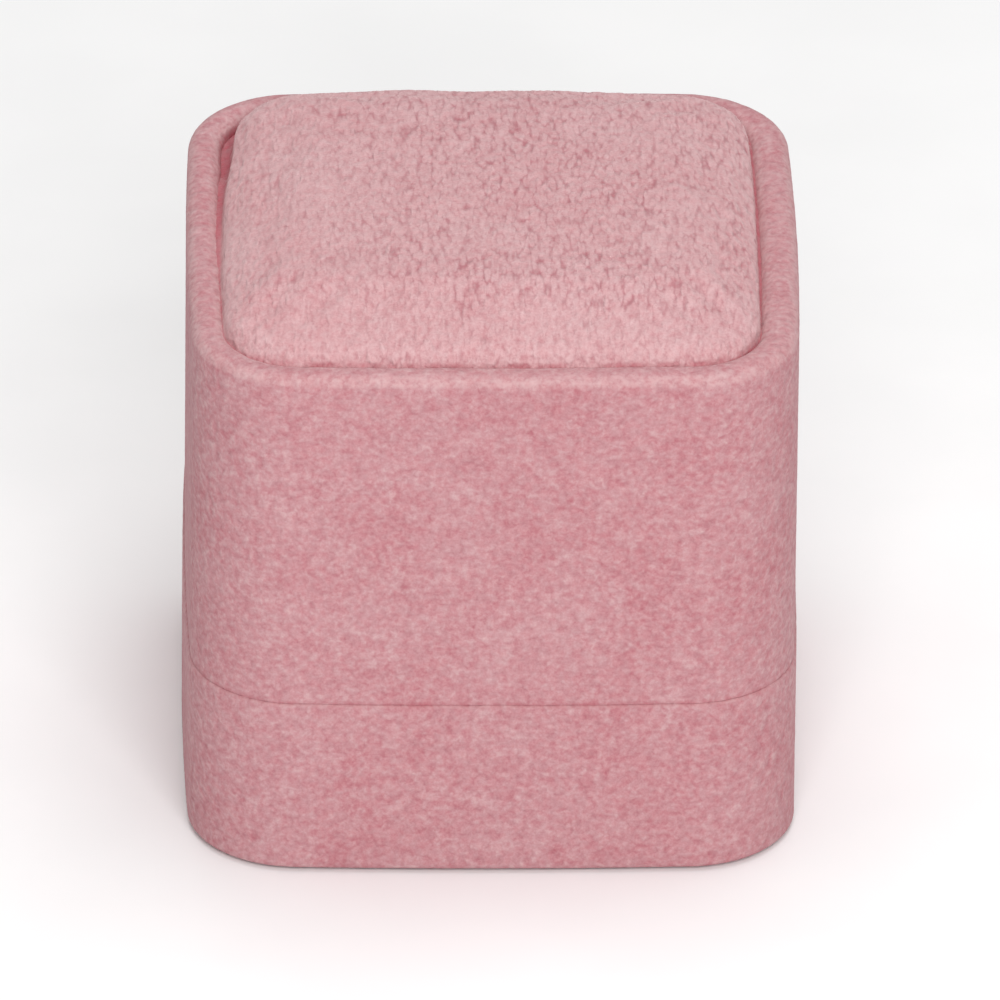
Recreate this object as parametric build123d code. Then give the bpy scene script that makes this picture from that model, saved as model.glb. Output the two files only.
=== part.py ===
from build123d import *

# Lift-off-lid velvet jewelry (ring) box, millimetres, +Z up.
#
# Origin: centre of the footprint, on the surface the box stands on. Front is -Y, back is +Y.
# A rounded-square rigid board box in three groups:
#   base    - covered board tray with an inner neck (collar) standing above its rim
#   lid     - tall covered board sleeve that drops over the neck, with a padded top panel set in its rim
#   cushion - slotted ring pad that lifts out of the neck
# All nested outlines are offsets of one plan curve, so every layer is concentric with the next.
import math
import os

os.makedirs("parts", exist_ok=True)

# ---------------------------------------------------------------- driving dimensions
LID_HALF = 30.0        # half width of the covered lid at mid side
BASE_HALF = 30.2       # the base stands a hair proud of the lid
SIDE_R = 540.0         # the long sides bow outward on this radius
CORNER_R = 10.6        # plan corner radius of the covered lid
HEIGHT = 55.2          # table to the top of the lid's rim
SEAM_Z = 18.7          # top of the base's covered wall
SEAM_GAP = 0.15        # daylight between lid and base where they meet
VELVET = 0.8           # pile fabric: backing and pile
BOARD = 2.0            # greyboard of the outer walls
GLUE = 0.02            # glue line between a board and what covers it
FOLD_CORNER = 2.0      # corner of the window left by fabric folded underneath

LID_Z0 = SEAM_Z + SEAM_GAP
LID_BOARD_OUT = LID_HALF - VELVET          # 29.2
LID_BOARD_IN = LID_BOARD_OUT - BOARD       # 27.2
LID_IN = LID_BOARD_IN - VELVET             # 26.4 inside of the turned-in velvet
LID_TURN_TOP_Z = 48.4                      # inner end of the velvet turned in over the rim
LID_TURN_BOT_Z = 27.6                      # inner end of the velvet turned in at the mouth

TOP_BOARD_Z = (48.4, 50.2)                 # structural top panel
PAD_HALF = 25.85                           # padded top panel, over its fabric
PAD_Z0 = 50.25
PAD_FOLD = 0.6                             # fabric folded under the pad's card
PAD_CARD = 0.9
PAD_CORNER = 8.0                           # the pad's corners are rounder than the rim's inside
PAD_APEX = 59.5                            # crown of the pad, above the rim
PAD_CROWN_R = 420.0                        # sphere of the crown
PAD_SHOULDER = 3.2                         # rolled shoulder round the crown
PAD_FOLD_W = 8.0

CEIL_CARD_Z = (47.45, 48.35)               # padded ceiling under the top panel
CEIL_FOAM_T = 0.9
CEIL_SKIN = 0.3
CEIL_HALF = 26.0
LINING_T = 0.7
LINING_Z = (LID_TURN_BOT_Z, 48.4)

BASE_BOARD_OUT = BASE_HALF - VELVET        # 29.4
BASE_BOARD_IN = BASE_BOARD_OUT - BOARD     # 27.4
BASE_IN = BASE_BOARD_IN - VELVET           # 26.6
UNDER_T = 0.3                              # underside paper, which the box stands on
UNDER_HALF = 27.6
TURN_UNDER = 9.0                           # velvet turned under the base
BASE_TURN_Z = 11.0                         # inner end of the velvet turned in over the base's rim
FLOOR_Z = (UNDER_T + VELVET, UNDER_T + VELVET + 2.0)   # floor board

NECK_OUT = 26.1                            # over the neck's velvet
NECK_BOARD = 1.5
NECK_TOP = 27.2
NECK_BOARD_OUT = NECK_OUT - VELVET         # 25.3
NECK_BOARD_IN = NECK_BOARD_OUT - NECK_BOARD  # 23.8
NECK_IN = NECK_BOARD_IN - VELVET           # 23.0
NECK_TURN_Z = 20.0

RISER_HALF = 22.4
RISER_Z = (FLOOR_Z[1], 9.9)

CUSH_HALF = 22.7                           # over the cushion's velvet
CUSH_CORNER = 5.6
CUSH_Z0 = 10.0
CUSH_FOLD = 0.6
CUSH_CARD = 1.0
CUSH_SKIN = 0.8
CUSH_TOP = 28.2                            # crown of the pad
CUSH_CROWN_R = 150.0
CUSH_ROLL_R = 3.6                          # rolled upper edge of each half
CUSH_END_R = 4.4                           # where the slot opens at the sides
SLOT_W = 1.4                               # the ring slot between the two rolls
SLOT_DEPTH = 11.0
CUSH_FOLD_W = 7.0


# ---------------------------------------------------------------- plan curve
K = LID_HALF - SIDE_R                      # every side arc is centred this far behind the middle


def corner_centre(reach):
    """Distance q of a corner arc's centre (q, q) that lies reach away from a side arc's centre (K, 0)."""
    return (2 * K + math.sqrt(4 * K * K - 8 * (K * K - reach * reach))) / 4


def outline(half, corner=None):
    """Closed wire of the plan: half is the half width at mid side, corner the corner radius.

    Without a corner radius the wire is an offset of the lid's own outline.
    """
    rs = SIDE_R + half - LID_HALF
    rc = CORNER_R + half - LID_HALF if corner is None else corner
    q = corner_centre(rs - rc)
    tx, ty = K + rs * (q - K) / (rs - rc), rs * q / (rs - rc)
    mid = q + rc / math.sqrt(2)
    edges = []
    for i in range(4):
        a = math.radians(90 * i)

        def turn(x, y):
            return (x * math.cos(a) - y * math.sin(a), x * math.sin(a) + y * math.cos(a))

        edges += ThreePointArc(turn(tx, -ty), turn(half, 0), turn(tx, ty)).edges()
        edges += ThreePointArc(turn(tx, ty), turn(mid, mid), turn(ty, tx)).edges()
    return Wire(edges)


def slab(half, z0, z1, corner=None):
    """Prism of the plan between two heights."""
    return extrude(Pos(0, 0, z0) * make_face(outline(half, corner)), z1 - z0)


def tube(half_out, half_in, z0, z1):
    return slab(half_out, z0, z1) - slab(half_in, z0 - 1, z1 + 1)


def edges_at(shape, z, half):
    """Edges at height z that run round the plan at that half width."""
    rc = CORNER_R + half - LID_HALF
    far = math.sqrt(2) * corner_centre(SIDE_R - CORNER_R) + rc
    found = []
    for e in shape.edges():
        bb = e.bounding_box()
        if abs(bb.min.Z - z) < 1e-4 and abs(bb.max.Z - z) < 1e-4:
            m = e.position_at(0.5)
            on_side = abs(max(abs(m.X), abs(m.Y)) - half) < 0.02 and min(abs(m.X), abs(m.Y)) < 0.5
            on_corner = abs(math.hypot(m.X, m.Y) - far) < 0.02
            if on_side or on_corner:
                found.append(e)
    return found


def rounded(shape, z, half, r):
    """Fillet the edge loop at height z and that half width."""
    return fillet(edges_at(shape, z, half), r)


def rim_edges(shape, z_low):
    """Edges of the upper face of a domed block."""
    return [e for e in shape.edges() if e.bounding_box().min.Z > z_low]


def domed(half, z0, apex, crown_r, shoulder, corner=None):
    """Prism of the plan under a large sphere, with a rolled shoulder all round."""
    block = slab(half, z0, apex + 2, corner) & (Pos(0, 0, apex - crown_r) * Sphere(crown_r))
    return fillet(rim_edges(block, (z0 + apex) / 2), shoulder)


def save(shape, name):
    shape.label = name
    export_step(shape, f"parts/{name}.step")


def one(shape):
    """A single clean solid of a boolean result."""
    s = shape.solids()
    assert len(s) == 1, (len(s), [round(x.volume, 2) for x in s])
    return s[0]


# ---------------------------------------------------------------- lid
lid_wall_board = tube(LID_BOARD_OUT, LID_BOARD_IN, LID_Z0 + VELVET, HEIGHT - VELVET)
save(one(lid_wall_board), "lid_wall_board")

# outer velvet: outside, over the rim and down inside, under the mouth and up inside
v = tube(LID_HALF, LID_IN, LID_Z0, HEIGHT)
v = rounded(v, HEIGHT, LID_HALF, 1.3)
v = rounded(v, HEIGHT, LID_IN, 1.1)
v = rounded(v, LID_Z0, LID_HALF, 0.6)
v = rounded(v, LID_Z0, LID_IN, 0.6)
v -= tube(LID_BOARD_OUT + GLUE, LID_BOARD_IN - GLUE, LID_Z0 + VELVET - GLUE, HEIGHT - VELVET + GLUE)
v -= slab(LID_BOARD_IN, LID_TURN_BOT_Z, LID_TURN_TOP_Z)
# butt seam of the wrap down the middle of the back
v -= Pos(0, LID_HALF, (LID_Z0 + HEIGHT) / 2) * Box(0.3, 0.5, HEIGHT)
save(one(v), "lid_outer_velvet")

lid_top_board = slab(LID_IN - GLUE, *TOP_BOARD_Z)
save(one(lid_top_board), "lid_top_board")

# padded top panel: card, wadding domed over it, velvet round both and folded under
card_z0 = PAD_Z0 + PAD_FOLD
card_z1 = card_z0 + PAD_CARD
inside = PAD_HALF - VELVET
pad_out = domed(PAD_HALF, PAD_Z0, PAD_APEX, PAD_CROWN_R, PAD_SHOULDER, PAD_CORNER)
pad_in = domed(inside, card_z0, PAD_APEX - VELVET, PAD_CROWN_R - VELVET, PAD_SHOULDER - VELVET, PAD_CORNER - VELVET)
pad_velvet = pad_out - pad_in - slab(PAD_HALF - PAD_FOLD_W, PAD_Z0 - 1, card_z0 + 0.01, FOLD_CORNER)
save(one(pad_velvet), "lid_pad_velvet")
pad_card = slab(inside - GLUE, card_z0, card_z1, PAD_CORNER - VELVET - GLUE)
save(one(pad_card), "lid_pad_card")
pad_foam = domed(inside - GLUE, card_z1, PAD_APEX - VELVET - GLUE, PAD_CROWN_R - VELVET - GLUE,
                 PAD_SHOULDER - VELVET - GLUE, PAD_CORNER - VELVET - GLUE)
save(one(pad_foam), "lid_pad_foam")

# lining sleeve, and the thin padded ceiling glued under the top board
lid_lining = tube(LID_BOARD_IN - GLUE, LID_BOARD_IN - LINING_T, *LINING_Z)
save(one(lid_lining), "lid_lining_sleeve")
cf0, cf1 = CEIL_CARD_Z[0] - CEIL_FOAM_T, CEIL_CARD_Z[0]
CEILING_Z = cf0 - CEIL_SKIN
ceil_card = slab(CEIL_HALF - CEIL_SKIN - GLUE, *CEIL_CARD_Z)
save(one(ceil_card), "lid_ceiling_card")
ceil_foam = slab(CEIL_HALF - CEIL_SKIN - GLUE, cf0, cf1)
save(one(ceil_foam), "lid_ceiling_foam")
ceil_skin = slab(CEIL_HALF, CEILING_Z, CEIL_CARD_Z[1])
ceil_skin = rounded(ceil_skin, CEILING_Z, CEIL_HALF, 0.5)
ceil_skin -= slab(CEIL_HALF - CEIL_SKIN, cf0, CEIL_CARD_Z[1] + 1)
save(one(ceil_skin), "lid_ceiling_satin")

# ---------------------------------------------------------------- base
base_z0 = UNDER_T + VELVET
base_wall_board = tube(BASE_BOARD_OUT, BASE_BOARD_IN, base_z0, SEAM_Z - VELVET)
save(one(base_wall_board), "base_wall_board")

floor_board = slab(BASE_BOARD_IN - GLUE, *FLOOR_Z)
save(one(floor_board), "base_floor_board")

# outer velvet: turned in over the rim, and turned under the bottom
b = tube(BASE_HALF, BASE_IN, UNDER_T, SEAM_Z)
b = rounded(b, SEAM_Z, BASE_HALF, 0.75)
b = rounded(b, SEAM_Z, BASE_IN, 0.6)
b = rounded(b, UNDER_T, BASE_HALF, 0.6)
b += slab(BASE_IN + 0.1, UNDER_T, base_z0) - slab(BASE_BOARD_OUT - TURN_UNDER, 0, base_z0 + 1, FOLD_CORNER)
b -= tube(BASE_BOARD_OUT + GLUE, BASE_BOARD_IN - GLUE, base_z0 - GLUE, SEAM_Z - VELVET + GLUE)
b -= slab(BASE_BOARD_IN, base_z0 - GLUE, BASE_TURN_Z)
b -= Pos(0, BASE_HALF, SEAM_Z / 2) * Box(0.3, 0.5, 2 * SEAM_Z)
save(one(b), "base_outer_velvet")

under = slab(UNDER_HALF, 0, UNDER_T)
under = rounded(under, 0, UNDER_HALF, 0.12)
save(one(under), "base_underside_panel")

neck_board = tube(NECK_BOARD_OUT, NECK_BOARD_IN, FLOOR_Z[1], NECK_TOP - VELVET)
save(one(neck_board), "neck_board")
n = tube(NECK_OUT, NECK_IN, FLOOR_Z[1], NECK_TOP)
n = rounded(n, NECK_TOP, NECK_OUT, 0.9)
n = rounded(n, NECK_TOP, NECK_IN, 0.9)
n -= tube(NECK_BOARD_OUT + GLUE, NECK_BOARD_IN - GLUE, FLOOR_Z[1] - 2, NECK_TOP - VELVET + GLUE)
n -= slab(NECK_BOARD_IN, FLOOR_Z[1] - 1, NECK_TURN_Z)
n -= Pos(0, NECK_OUT, NECK_TOP / 2) * Box(0.3, 0.5, 2 * NECK_TOP)
save(one(n), "neck_velvet")

riser = slab(RISER_HALF, *RISER_Z)
save(one(riser), "cushion_riser_foam")

# ---------------------------------------------------------------- ring cushion
SLOT_FLOOR = CUSH_TOP - SLOT_DEPTH
ccz0, ccz1 = CUSH_Z0 + CUSH_FOLD, CUSH_Z0 + CUSH_FOLD + CUSH_CARD


def bolster(inset, z0, z_split):
    """The rear half of the slotted pad: a domed block cut by the slot, its slot-side corners and upper edge rolled.

    inset is how far inside the covered surface it lies; below z_split it reaches the middle of the slot.
    """
    half = CUSH_HALF - inset
    apex = CUSH_TOP - inset
    r = CUSH_CROWN_R - inset
    face_y = SLOT_W / 2 + inset
    block = slab(half, z0, apex + 2, CUSH_CORNER - inset) & (Pos(0, 0, apex - r) * Sphere(r))
    block = block & (Pos(0, face_y + half, 0) * Box(4 * half, 2 * half, 4 * apex))
    upright = [e for e in block.edges() if abs(e.position_at(0.5).Y - face_y) < 1e-3 and e.bounding_box().size.Z > 5]
    block = fillet(upright, CUSH_END_R - inset)
    block = fillet(rim_edges(block, (z0 + apex) / 2), CUSH_ROLL_R - inset)
    foot = slab(half, z0, z_split, CUSH_CORNER - inset) & (Pos(0, (face_y + CUSH_END_R + 1) / 2, 0) * Box(4 * half, face_y + CUSH_END_R + 1, 4 * apex))
    return block + foot


outer_rear = bolster(0.0, CUSH_Z0, SLOT_FLOOR)
inner_rear = bolster(CUSH_SKIN, ccz0, SLOT_FLOOR - CUSH_SKIN)
skin = outer_rear + mirror(outer_rear, about=Plane.XZ)
skin = skin - inner_rear - mirror(inner_rear, about=Plane.XZ)
skin = skin - slab(CUSH_HALF - CUSH_FOLD_W, CUSH_Z0 - 1, ccz0 + 0.01, FOLD_CORNER)
save(one(skin), "cushion_velvet")
cush_card = slab(CUSH_HALF - CUSH_SKIN - GLUE, ccz0, ccz1, CUSH_CORNER - CUSH_SKIN - GLUE)
save(one(cush_card), "cushion_card")
foam_rear = bolster(CUSH_SKIN + GLUE, ccz1, SLOT_FLOOR - CUSH_SKIN - GLUE)
foam_front = mirror(foam_rear, about=Plane.XZ)
save(one(foam_front), "cushion_foam_front")
save(one(foam_rear), "cushion_foam_rear")

print("ceiling z", round(CEILING_Z, 3), "headroom over cushion", round(CEILING_Z - CUSH_TOP, 3),
      "lift to clear the neck", round(NECK_TOP - CUSH_Z0, 3), "slot floor", round(SLOT_FLOOR, 3))
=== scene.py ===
import math

import bpy
import bmesh
import numpy as np
from mathutils import Matrix, Vector
from mathutils.bvhtree import BVHTree


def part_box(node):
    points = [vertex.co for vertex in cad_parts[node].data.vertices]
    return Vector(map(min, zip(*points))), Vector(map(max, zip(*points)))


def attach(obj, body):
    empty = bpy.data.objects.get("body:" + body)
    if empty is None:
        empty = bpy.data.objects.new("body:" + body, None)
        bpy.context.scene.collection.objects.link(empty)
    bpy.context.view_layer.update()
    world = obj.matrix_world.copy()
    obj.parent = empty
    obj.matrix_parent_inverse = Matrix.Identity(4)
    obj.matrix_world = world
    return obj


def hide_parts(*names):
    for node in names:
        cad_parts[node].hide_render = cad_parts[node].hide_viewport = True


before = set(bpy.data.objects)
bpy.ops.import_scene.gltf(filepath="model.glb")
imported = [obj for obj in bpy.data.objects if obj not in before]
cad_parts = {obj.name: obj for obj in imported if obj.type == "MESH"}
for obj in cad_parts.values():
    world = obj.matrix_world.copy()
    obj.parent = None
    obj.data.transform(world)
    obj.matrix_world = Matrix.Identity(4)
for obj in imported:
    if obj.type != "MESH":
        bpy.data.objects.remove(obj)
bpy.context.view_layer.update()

MM = 0.001


def box(node):
    """A node's corners at rest, in millimetres."""
    lo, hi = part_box(node)
    return np.array(lo) / MM, np.array(hi) / MM


def half(node):
    lo, hi = box(node)
    return float(hi[0] - lo[0]) / 2


def z_of(node):
    lo, hi = box(node)
    return float(lo[2]), float(hi[2])


# ------------------------------------------------------------------ the plan curve, as the boards have it
LID_HALF = half("lid_outer_velvet")
BASE_HALF = half("base_outer_velvet")
SIDE_R, CORNER_R = 540.0, 10.6
K = LID_HALF - SIDE_R


def corner_centre(reach):
    return (2 * K + math.sqrt(4 * K * K - 8 * (K * K - reach * reach))) / 4


def outline(half_w, s, corner=None):
    """Points and outward normals of the plan curve. s runs 0..1 anticlockwise from the middle of the back."""
    rs = SIDE_R + half_w - LID_HALF
    rc = CORNER_R + half_w - LID_HALF if corner is None else corner
    q = corner_centre(rs - rc)
    alpha = math.atan2(q, q - K)
    ls, lc = 2 * alpha * rs, (math.pi / 2 - 2 * alpha) * rc
    quarter = ls + lc
    t = (np.asarray(s, float) * 4 * quarter + ls / 2) % (4 * quarter)
    k = np.floor(t / quarter).astype(int) % 4
    r = t - k * quarter
    side = r < ls
    phi = np.where(side, -alpha + r / rs, alpha + (r - ls) / rc)
    nx, ny = -np.sin(phi), np.cos(phi)
    x = np.where(side, rs * nx, -q + rc * nx)
    y = np.where(side, K + rs * ny, q + rc * ny)
    c, d = np.array([1, 0, -1, 0])[k], np.array([0, 1, 0, -1])[k]
    pts = np.stack([c * x - d * y, d * x + c * y], 1)
    nor = np.stack([c * nx - d * ny, d * nx + c * ny], 1)
    return pts, nor


# ------------------------------------------------------------------ noise, the same every run
def _hash(ix, iy, iz, seed):
    h = (ix * 374761393 + iy * 668265263 + iz * 1440662683 + seed * 1274126177) & 0xFFFFFFFF
    h = ((h ^ (h >> 13)) * 1103515245) & 0xFFFFFFFF
    h = ((h ^ (h >> 16)) * 2246822519) & 0xFFFFFFFF
    return h ^ (h >> 15)


def noise(p, seed=0):
    """Gradient noise, about -1..1, at points p (n, 3) whose lattice is 1 wide."""
    p = np.asarray(p, float)
    i = np.floor(p).astype(np.int64)
    f = p - i
    u = f * f * f * (f * (f * 6 - 15) + 10)
    out = 0
    for dx in (0, 1):
        for dy in (0, 1):
            for dz in (0, 1):
                h = _hash(i[:, 0] + dx, i[:, 1] + dy, i[:, 2] + dz, seed)
                gx = (h & 1023) / 511.5 - 1
                gy = ((h >> 10) & 1023) / 511.5 - 1
                gz = ((h >> 20) & 1023) / 511.5 - 1
                dot = gx * (f[:, 0] - dx) + gy * (f[:, 1] - dy) + gz * (f[:, 2] - dz)
                w = (u[:, 0] if dx else 1 - u[:, 0]) * (u[:, 1] if dy else 1 - u[:, 1]) * (u[:, 2] if dz else 1 - u[:, 2])
                out = out + w * dot
    return out * 1.5


def fbm(p, octaves=3, seed=0, gain=0.5):
    a, total, out = 1.0, 0.0, 0.0
    for o in range(octaves):
        out = out + a * noise(np.asarray(p) * 2.03 ** o + 17.3 * o, seed + o)
        total += a
        a *= gain
    return out / total


def smooth(x, lo, hi):
    """0 below lo, 1 above hi, eased between."""
    t = np.clip((np.asarray(x, float) - lo) / (hi - lo), 0, 1)
    return t * t * (3 - 2 * t)


def tufts(co, size, seed=0):
    """Ruffled pile: small rounded tufts (0 between, 1 on top), and the short curling gaps between them (1 in a gap).
    size is a tuft's width, length and depth in mm."""
    bend = np.stack([noise(co / 1.5 + 5.1, seed + 11), noise(co / 1.5 + 9.7, seed + 12), np.zeros(len(co))], 1)
    n = noise((co + 0.40 * bend) / size, seed)
    top = np.clip(np.abs(n) / 0.5, 0, 1) ** 0.65
    broken = np.clip(0.45 + 1.5 * noise(co / (1.5 * np.asarray(size)) + 31.0, seed + 5), 0, 1)
    return top, np.exp(-(n / 0.13) ** 2) * broken


# ------------------------------------------------------------------ meshes
def make(name, verts_mm, faces, smooth=True):
    """A mesh object from millimetre points, turned so that its faces look outward."""
    me = bpy.data.meshes.new(name)
    v = np.asarray(verts_mm, float) * MM
    me.from_pydata(v.tolist(), [], faces if isinstance(faces, list) else faces.tolist())
    me.update()
    me.calc_loop_triangles()
    tri = np.empty(len(me.loop_triangles) * 3, np.int32)
    me.loop_triangles.foreach_get("vertices", tri)
    a, b, c = (v[tri.reshape(-1, 3)[:, k]] for k in range(3))
    if (a * np.cross(b, c)).sum() < 0:
        me.flip_normals()
    if smooth:
        me.polygons.foreach_set("use_smooth", [True] * len(me.polygons))
    ob = bpy.data.objects.new(name, me)
    bpy.context.scene.collection.objects.link(ob)
    return ob


def coords(me):
    co = np.empty(len(me.vertices) * 3)
    me.vertices.foreach_get("co", co)
    return co.reshape(-1, 3)


def normals(me):
    no = np.empty(len(me.vertices) * 3, np.float32)
    me.vertices.foreach_get("normal", no)
    return no.reshape(-1, 3).astype(float)


def set_coords(me, co):
    me.vertices.foreach_set("co", np.asarray(co, float).ravel())
    me.update()


def push(ob, amount_mm):
    """Moves each vertex along its own normal."""
    me = ob.data
    set_coords(me, coords(me) + normals(me) * (np.asarray(amount_mm) * MM)[:, None])


def mark(ob, values, name="parted_pile_and_shade"):
    """Keeps a number at each vertex for the material to colour: how far the pile is parted together with the painted
    shade in seams and gaps, and, under another name, where the pile lies flat.
    """
    at = ob.data.attributes.new(name, "FLOAT", "POINT")
    at.data.foreach_set("value", np.asarray(values, np.float32))


def sweep(name, ref_half, s, path, mask=None):
    """A closed band: path is a closed run of (offset, z) about the plan curve of ref_half, at each place s round it."""
    pts, nor = outline(ref_half, s)
    path = np.asarray(path, float)
    n, m = len(s), len(path)
    xy = pts[:, None, :] + nor[:, None, :] * path[None, :, :1]
    v = np.concatenate([xy, np.broadcast_to(path[None, :, 1:], (n, m, 1))], 2).reshape(-1, 3)
    i, j = np.meshgrid(np.arange(n), np.arange(m), indexing="ij")
    i2, j2 = (i + 1) % n, (j + 1) % m
    f = np.stack([i * m + j, i2 * m + j, i2 * m + j2, i * m + j2], 2).reshape(-1, 4)
    return make(name, v, f)


def run(points, step):
    """Points every step or so along straight runs."""
    out = []
    for a, b in zip(points[:-1], points[1:]):
        a, b = np.array(a, float), np.array(b, float)
        k = max(1, int(round(np.linalg.norm(b - a) / step)))
        out += [a + (b - a) * t / k for t in range(k)]
    out.append(np.array(points[-1], float))
    return out


def arc(cx, cz, r, a0, a1, k):
    return [np.array([cx + r * math.cos(math.radians(a0 + (a1 - a0) * t / k)), cz + r * math.sin(math.radians(a0 + (a1 - a0) * t / k))]) for t in range(k + 1)]


def join_path(*runs):
    """Runs laid end to end, without doubled points. Returns the points, and for each whether it shows."""
    pts, shown = [], []
    for r, show in runs:
        for p in r:
            if pts and np.linalg.norm(pts[-1] - p) < 1e-4:
                shown[-1] = max(shown[-1], show)
                continue
            pts.append(p)
            shown.append(show)
    if np.linalg.norm(pts[0] - pts[-1]) < 1e-4:
        pts.pop()
        shown.pop()
    return pts, np.array(shown, float)


def round_the_plan(step, extra=(0.05, 0.1, 0.16, 0.24, 0.34), length=219.0):
    """Places round the plan, closer together at the wrap's seam in the middle of the back."""
    k = int(round(length / step))
    s = np.arange(k) / k
    s = s[(s > 0.45 / length) & (s < 1 - 0.45 / length)]
    near = [0.0] + [e / length for e in extra] + [1 - e / length for e in extra]
    return np.sort(np.concatenate([s, near])), length


def seam_dip(s, length, width=0.16, depth=0.34):
    """How far the butt seam draws the nap in, at each place round the plan."""
    d = np.minimum(s, 1 - s) * length
    return -depth * np.exp(-(d / width) ** 2)


# ------------------------------------------------------------------ the wraps of the walls
def nap_of_wall(ob, m, shown, s, length, low, mid, tuft, seed, seam=0.22, clump=(0.85, 0.85, 0.62)):
    """The cloth's own unevenness over the board, its nap, and the seam where its ends meet."""
    co = coords(ob.data) / MM
    amount = low * fbm(co / np.array([11.0, 11.0, 8.0]), 2, seed) + mid * fbm(co / 2.6, 2, seed + 20)
    amount = amount + tuft * fbm(co / np.array(clump), 2, seed + 40)
    w = np.tile(shown, len(s))
    amount = amount * w
    if seam:
        wobble = 1 + 0.35 * noise(co / 1.7, seed + 60)
        fade = 1 - 0.8 * np.clip((co[:, 2] - co[:, 2].max() + 2.2) / 0.8, 0, 1)
        amount = amount + np.repeat(seam_dip(s, length, depth=seam), m) * wobble * (w > 0) * fade
    push(ob, amount)


STEP = 0.385

lid_z0, lid_z1 = z_of("lid_outer_velvet")
lid_z0 -= 0.02                                           # the pile of the two rims closes most of the gap between them
board_out = half("lid_wall_board") - LID_HALF            # offsets from the covered outline
top_half = half("lid_top_board")
lid_in = top_half + 0.02 - LID_HALF
board_in = lid_in + 0.8
top_board = z_of("lid_top_board")
lining_z = z_of("lid_lining_sleeve")

R_OUT, R_IN, R_MOUTH = 1.45, 1.6, 0.10
lid_path, lid_shown = join_path(
    (run([(lid_in, top_board[0]), (lid_in, lid_z1 - R_IN)], STEP), 0.8),
    (arc(lid_in + R_IN, lid_z1 - R_IN, R_IN, 180, 90, 5), 1.0),
    (run([(lid_in + R_IN, lid_z1), (-R_OUT, lid_z1)], STEP), 1.0),
    (arc(-R_OUT, lid_z1 - R_OUT, R_OUT, 90, 0, 6), 1.0),
    (run([(0, lid_z1 - R_OUT), (0, lid_z0 + R_MOUTH)], STEP), 1.0),
    (arc(-R_MOUTH, lid_z0 + R_MOUTH, R_MOUTH, 0, -90, 4), 0.7),
    (run([(-R_MOUTH, lid_z0), (lid_in + R_MOUTH, lid_z0)], STEP), 0.5),
    (arc(lid_in + R_MOUTH, lid_z0 + R_MOUTH, R_MOUTH, 270, 180, 4), 0.4),
    (run([(lid_in, lid_z0 + R_MOUTH), (lid_in, lining_z[0])], 0.8), 0.3),
    (run([(lid_in, lining_z[0]), (board_in - 0.03, lining_z[0])], 1.0), 0.0),
    (run([(board_in - 0.03, lining_z[0]), (board_in - 0.03, lid_z0 + 0.78)], 4.0), 0.0),
    (run([(board_in - 0.03, lid_z0 + 0.78), (board_out + 0.03, lid_z0 + 0.78)], 2.0), 0.0),
    (run([(board_out + 0.03, lid_z0 + 0.78), (board_out + 0.03, lid_z1 - 0.78)], 6.0), 0.0),
    (run([(board_out + 0.03, lid_z1 - 0.78), (board_in - 0.03, lid_z1 - 0.78)], 2.0), 0.0),
    (run([(board_in - 0.03, lid_z1 - 0.78), (board_in - 0.03, top_board[0]), (lid_in, top_board[0])], 3.0), 0.0),
)
s_lid, L_lid = round_the_plan(STEP)
lid_wrap = sweep("lid_velvet_wrap", LID_HALF, s_lid, lid_path)
nap_of_wall(lid_wrap, len(lid_path), lid_shown, s_lid, L_lid, 0.03, 0.02, 0.036, 3)

base_z0, base_z1 = z_of("base_outer_velvet")
base_z1 += 0.14
b_out = half("base_wall_board") - BASE_HALF
b_floor = half("base_floor_board") + 0.02 - BASE_HALF
b_in = b_floor - 0.8
floor_z = z_of("base_floor_board")
TURN_IN_Z, TURN_UNDER = 11.0, 9.0
under_z = z_of("base_underside_panel")
base_path, base_shown = join_path(
    (run([(b_in, TURN_IN_Z), (b_in, base_z1 - 0.6)], 0.8), 0.3),
    (arc(b_in + 0.6, base_z1 - 0.6, 0.6, 180, 90, 4), 0.5),
    (run([(b_in + 0.6, base_z1), (-0.30, base_z1)], STEP), 0.2),
    ([np.array([-0.30 + 0.30 * math.cos(math.radians(a)), base_z1 - 0.62 + 0.62 * math.sin(math.radians(a))]) for a in (90, 76, 62, 48, 34, 17, 0)], 0.6),
    (run([(0, base_z1 - 0.62), (0, base_z0 + 0.7)], STEP), 1.0),
    (arc(-0.7, base_z0 + 0.7, 0.7, 0, -90, 5), 0.6),
    (run([(-0.7, base_z0), (b_out - TURN_UNDER, base_z0)], 0.8), 0.15),
    (run([(b_out - TURN_UNDER, base_z0), (b_out - TURN_UNDER, base_z0 + 0.78)], 1.0), 0.0),
    (run([(b_out - TURN_UNDER, base_z0 + 0.78), (b_out + 0.03, base_z0 + 0.78)], 3.0), 0.0),
    (run([(b_out + 0.03, base_z0 + 0.78), (b_out + 0.03, base_z1 - 0.78)], 5.0), 0.0),
    (run([(b_out + 0.03, base_z1 - 0.78), (b_floor - 0.03, base_z1 - 0.78)], 2.0), 0.0),
    (run([(b_floor - 0.03, base_z1 - 0.78), (b_floor - 0.03, TURN_IN_Z), (b_in, TURN_IN_Z)], 2.5), 0.0),
)
s_base, L_base = round_the_plan(STEP)
base_wrap = sweep("base_velvet_wrap", BASE_HALF, s_base, base_path)
def ripple_of_rims(ob, z, reach):
    """Where lid and base meet, both rims follow one uneven line. Returns how near each point is to the line, which
    marks the painted shade along it, and the flat plan of the points.
    """
    co = coords(ob.data) / MM
    near = np.clip(1 - np.abs(co[:, 2] - z) / reach, 0, 1)
    flat = np.column_stack([co[:, :2], np.zeros(len(co))])
    co[:, 2] += near * (0.05 * noise(flat / 4.0, 91) + 0.035 * noise(flat / 1.6, 92))
    set_coords(ob.data, co * MM)
    return near, flat


nap_of_wall(base_wrap, len(base_path), base_shown, s_base, L_base, 0.03, 0.02, 0.036, 7)

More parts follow.
